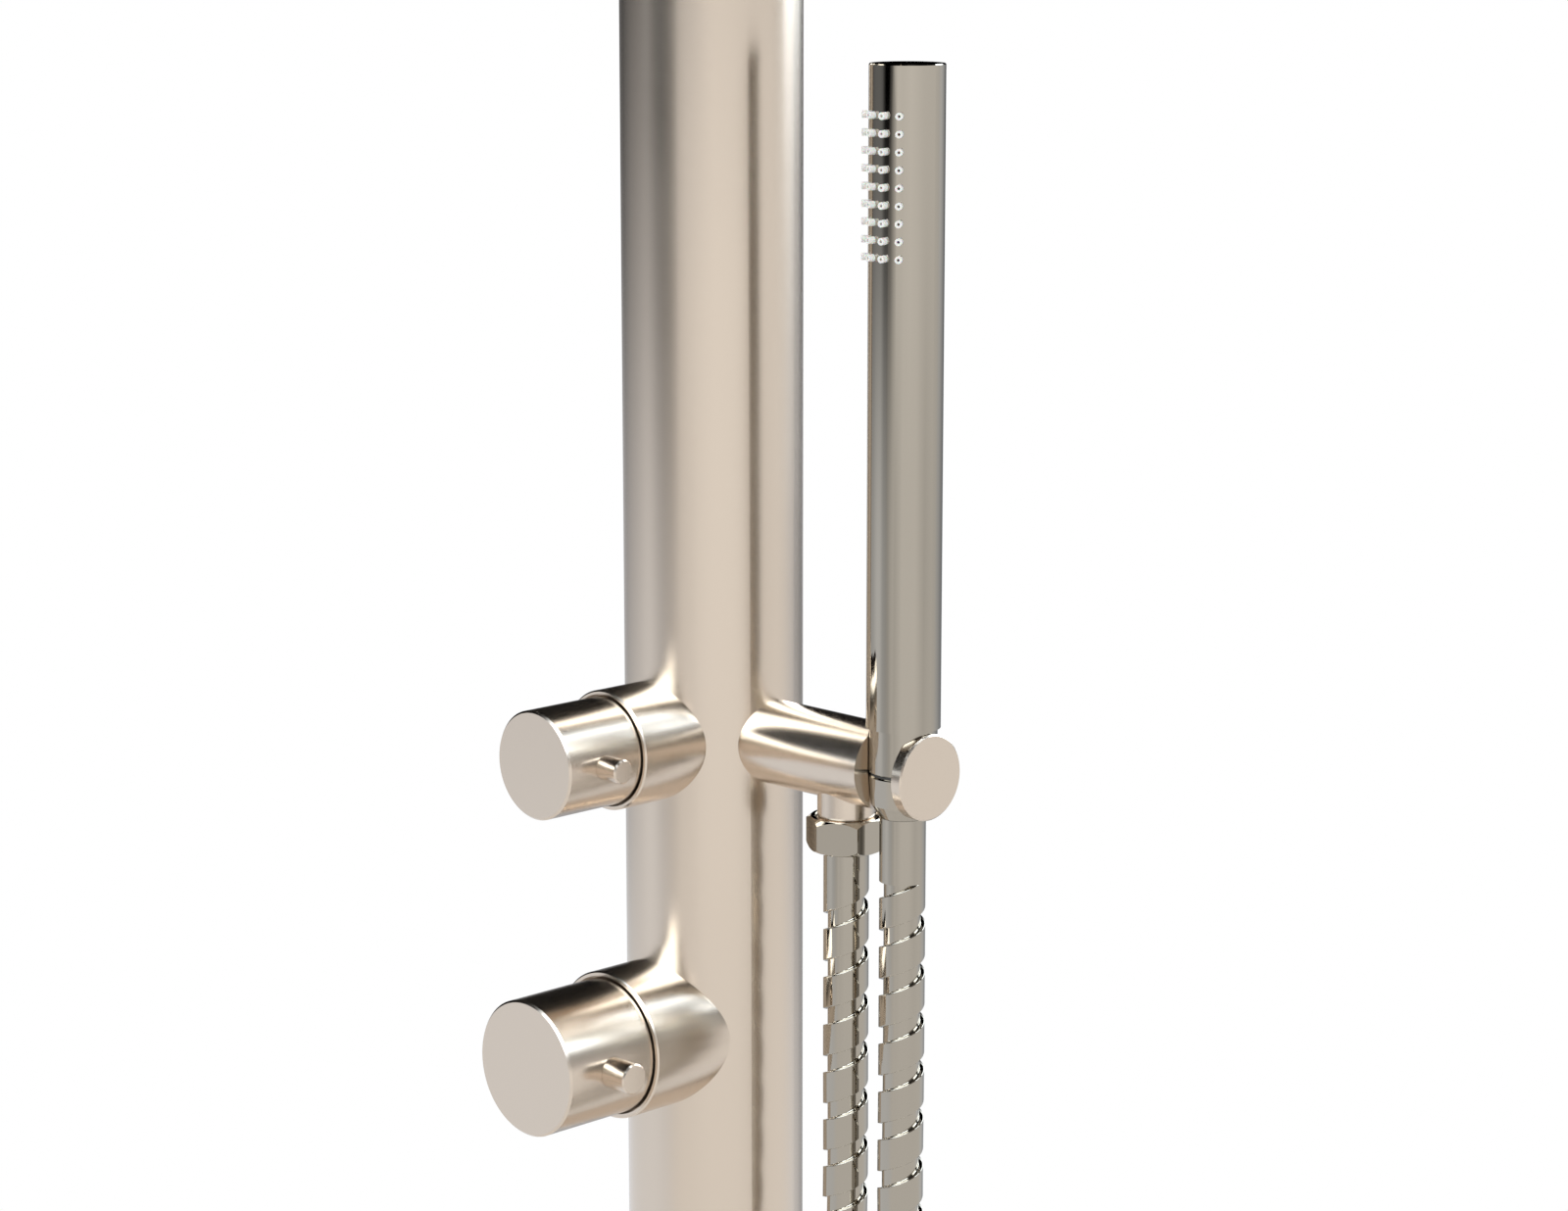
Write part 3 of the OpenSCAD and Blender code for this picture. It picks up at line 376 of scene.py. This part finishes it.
def round_ramp(tree, turn, stops):
    """A level all round the post, from stops of angle and level."""
    share = add(tree, "MapRange", {"Value": turn, "From Min": -180.0, "From Max": 180.0})
    ramp = add(tree, "ValToRGB", {"Fac": share.outputs[0]}).color_ramp
    while len(ramp.elements) < len(stops):
        ramp.elements.new(0.5)
    for element, (angle, level) in zip(ramp.elements, stops):
        element.position = (angle + 180) / 360
        element.color = (level, level, level, 1.0)
    return tree.nodes[-1].outputs["Color"]


def mixed(tree, share, low, high):
    """A level between low and high, by its share."""
    mix = add(tree, "Mix", data_type="FLOAT")
    for index, value in ((0, share), (2, low), (3, high)):
        if isinstance(value, bpy.types.NodeSocket):
            tree.links.new(value, mix.inputs[index])
        else:
            mix.inputs[index].default_value = value
    return mix.outputs[0]


def tinted(tree, share, low, high):
    """A colour between low and high, by its share."""
    mix = add(tree, "Mix", data_type="RGBA")
    for index, value in ((0, share), (6, low), (7, high)):
        if isinstance(value, bpy.types.NodeSocket):
            tree.links.new(value, mix.inputs[index])
        else:
            mix.inputs[index].default_value = value
    return mix.outputs[2]


# What the metal mirrors. Angles are degrees round the post from the camera's side, then
# the floor's level there. These levels, and the panels below, are rounded results of a fit
# to the photograph's tones, and some were then changed.
FAR_FLOOR = [(-180, 0.30), (-150, 0.06), (-125, 0.19), (-108, 0.24), (-95, 0.25), (-83, 0.20),
             (-75, 0.05), (-70, 0.0), (-57, 0.0), (-48, 0.18), (-40, 0.81), (-32, 1.08),
             (-15, 1.06), (10, 1.12), (48, 1.0), (90, 0.96), (105, 0.85), (119, 0.85),
             (135, 0.55), (155, 0.12), (180, 0.30)]
MIDDLE_FLOOR = [(-180, 0.8), (-150, 0.4), (-125, 0.60), (-108, 0.74), (-95, 0.93), (-83, 0.91),
                (-72, 0.65), (-62, 0.58), (-52, 0.61), (-42, 0.83), (-32, 0.78), (-10, 1.0),
                (30, 1.0), (60, 0.78), (90, 0.88), (105, 0.78), (119, 0.64), (135, 0.42),
                (155, 0.22), (180, 0.8)]
NEAR_FLOOR = 0.905
NEAR_FLOOR_BEHIND = 0.42
# Heights are degrees above the horizon, where one stretch of the floor meets the next
FAR_TO_MIDDLE = (-3.0, -11.0)
MIDDLE_TO_NEAR = (-11.0, -20.0)
HORIZON = (-0.8, 0.8)
# The pale haze over the far floor in front, from the horizon to its top
HAZE_HEIGHTS = (0, 29)
HAZE_LEVELS = (0.75, 0.1)
HAZE_LEFT, HAZE_RIGHT = (-25, 0), (100, 74)
# Angles over which the floor dims behind the post, and the sides turn a little bluer
BEHIND = (118, 158)
LEFT_SIDE, RIGHT_SIDE = (-45, -75), (95, 125)
SOFT_LIGHT = 0.8           # the even light on matt surfaces
DEGREES = 57.2958          # degrees in a radian
# Side to side, end to end, how soft the sides and the ends are, and how bright
PANELS = [((-74, -13), (15, 52), (4.5, 4.3), 6.0), ((-41, 8), (39, 70), (4.3, 3.8), 6.0),
          ((102, 148), (-0.6, 43), (5.7, 2.7), 6.0), ((58, 88), (24, 54), (5.0, 2.5), 6.0),
          ((-94, -82), (4.6, 12), (3.9, 2.4), 1.7)]
SIDE_COLOUR = (0.955, 1.0, 1.07, 1.0)
PANEL_COLOUR = (0.88, 1.0, 1.11, 1.0)
PANEL_LEVELS = (0.2, 1.0)  # from no tint to the panels' full tint
LAMP_TARGET = (0, 0, 1.1)


def make_room():
    """The studio round the post: a pale floor, a dark back, and white panels of light."""
    world = bpy.data.worlds.new("studio_room")
    scene.world = world
    tree = graph(world)
    ray = add(tree, "LightPath").outputs
    way = add(tree, "SeparateXYZ", {0: add(tree, "TexCoord").outputs["Object"]}).outputs
    height = math_node(tree, "MULTIPLY", math_node(tree, "ARCSINE", way["Z"]), DEGREES)
    near = (math.sin(STAND_AZIMUTH), -math.cos(STAND_AZIMUTH))
    along = math_node(tree, "ADD", math_node(tree, "MULTIPLY", way["X"], near[0]),
                      math_node(tree, "MULTIPLY", way["Y"], near[1]))
    across = math_node(tree, "ADD", math_node(tree, "MULTIPLY", way["X"], -near[1]),
                       math_node(tree, "MULTIPLY", way["Y"], near[0]))
    turn = math_node(tree, "MULTIPLY", math_node(tree, "ARCTAN2", across, along), DEGREES)

    far = round_ramp(tree, turn, FAR_FLOOR)
    middle = round_ramp(tree, turn, MIDDLE_FLOOR)
    floor = mixed(tree, rise(tree, height, *FAR_TO_MIDDLE), far, middle)
    close = mixed(tree, rise(tree, turn, *BEHIND), NEAR_FLOOR, NEAR_FLOOR_BEHIND)
    floor = mixed(tree, rise(tree, height, *MIDDLE_TO_NEAR), floor, close)
    front = math_node(tree, "MULTIPLY", rise(tree, turn, *HAZE_LEFT), rise(tree, turn, *HAZE_RIGHT))
    haze = mixed(tree, rise(tree, height, *HAZE_HEIGHTS), *HAZE_LEVELS)
    air = math_node(tree, "MULTIPLY", front, haze)
    lamps = 0.0
    for sides, ends, soft, level in PANELS:
        inside = panel(tree, turn, height, sides, ends, soft)
        lamps = math_node(tree, "MAXIMUM", lamps, math_node(tree, "MULTIPLY", inside, level))
    up = rise(tree, height, *HORIZON)
    lamps = math_node(tree, "MULTIPLY", lamps, up)
    level = math_node(tree, "MAXIMUM", mixed(tree, up, floor, air), lamps)
    sideways = math_node(tree, "ADD", rise(tree, turn, *LEFT_SIDE), rise(tree, turn, *RIGHT_SIDE))
    colour = tinted(tree, sideways, (1.0, 1.0, 1.0, 1.0), SIDE_COLOUR)
    colour = tinted(tree, rise(tree, lamps, *PANEL_LEVELS), colour, PANEL_COLOUR)
    shiny = add(tree, "Background", {"Color": colour, "Strength": level})
    soft = add(tree, "Background", {"Color": (1.0, 1.0, 1.0, 1.0), "Strength": SOFT_LIGHT})
    white = add(tree, "Background", {"Color": (1.0, 1.0, 1.0, 1.0), "Strength": 1.0})
    lit = add(tree, "MixShader", {"Fac": ray["Is Glossy Ray"]})
    tree.links.new(soft.outputs[0], lit.inputs[1])
    tree.links.new(shiny.outputs[0], lit.inputs[2])
    seen = add(tree, "MixShader", {"Fac": ray["Is Camera Ray"]})
    tree.links.new(lit.outputs[0], seen.inputs[1])
    tree.links.new(white.outputs[0], seen.inputs[2])
    out = add(tree, "OutputWorld")
    tree.links.new(seen.outputs[0], out.inputs["Surface"])


def add_lamp(name, place, size, power):
    """A round soft lamp that lights the object and doesn't show in the metal."""
    lamp = bpy.data.lights.new(name, "AREA")
    lamp.shape = "DISK"
    lamp.size = size
    lamp.energy = power
    obj = bpy.data.objects.new(name, lamp)
    obj.location = place
    aim = Vector(LAMP_TARGET) - Vector(place)
    obj.rotation_euler = aim.to_track_quat("-Z", "Y").to_euler()
    obj.visible_glossy = False
    scene.collection.objects.link(obj)


make_floor()
make_room()
add_lamp("key_lamp", (-1.6, -2.2, 3.4), size=1.6, power=30.0)
add_lamp("side_lamp", (2.6, -0.6, 2.4), size=1.4, power=16.0)
scene.view_settings.view_transform = "Standard"
